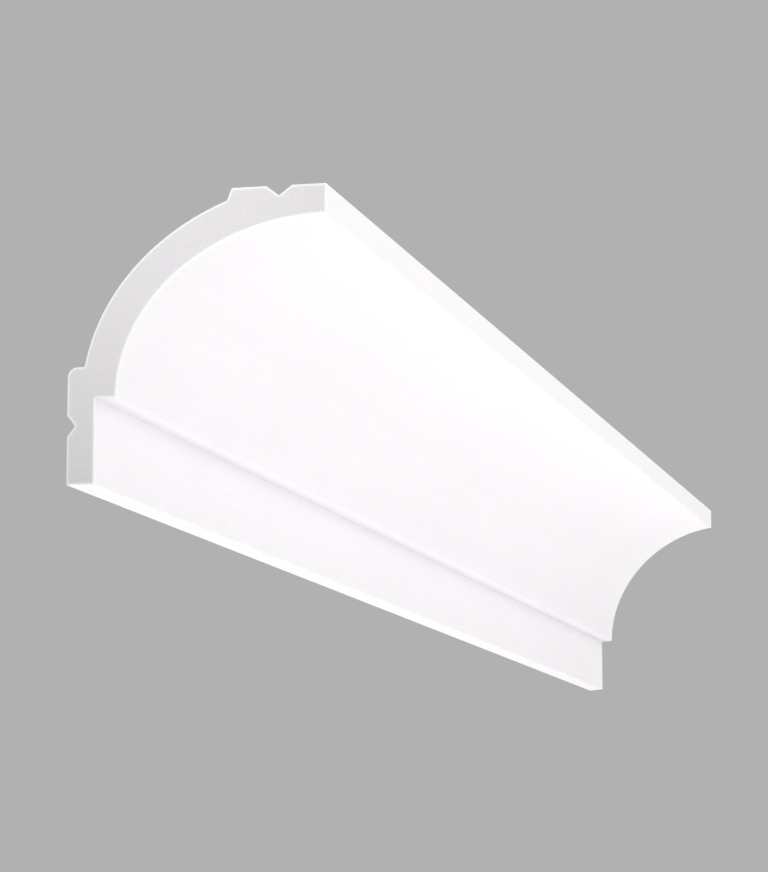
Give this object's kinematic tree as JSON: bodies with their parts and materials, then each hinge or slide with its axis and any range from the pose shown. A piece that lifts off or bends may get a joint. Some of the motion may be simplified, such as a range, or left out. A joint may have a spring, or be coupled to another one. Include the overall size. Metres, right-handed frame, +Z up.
{
  "type": "crown moulding length",
  "caption": "Length of cove crown moulding for a wall-to-ceiling corner: elliptical cove above a plain band, glue grooves behind, square at the near end and mitred at the far end.",
  "frame": {"origin": "on the face glued to the wall, in the middle of the strip between the bottom edge and the glue groove, midway along the wall edge's length", "axes": "+X along the length, from the square end to the mitred end; +Y into the wall; +Z up to the ceiling"},
  "size_m": [1, 0.091, 0.1],
  "materials": {
    "primed_foam": "matt white factory primer on rigid foamed polystyrene"
  },
  "bodies": {
    "root": {"crown_moulding_length": "primed_foam"}
  },
  "joints": []
}
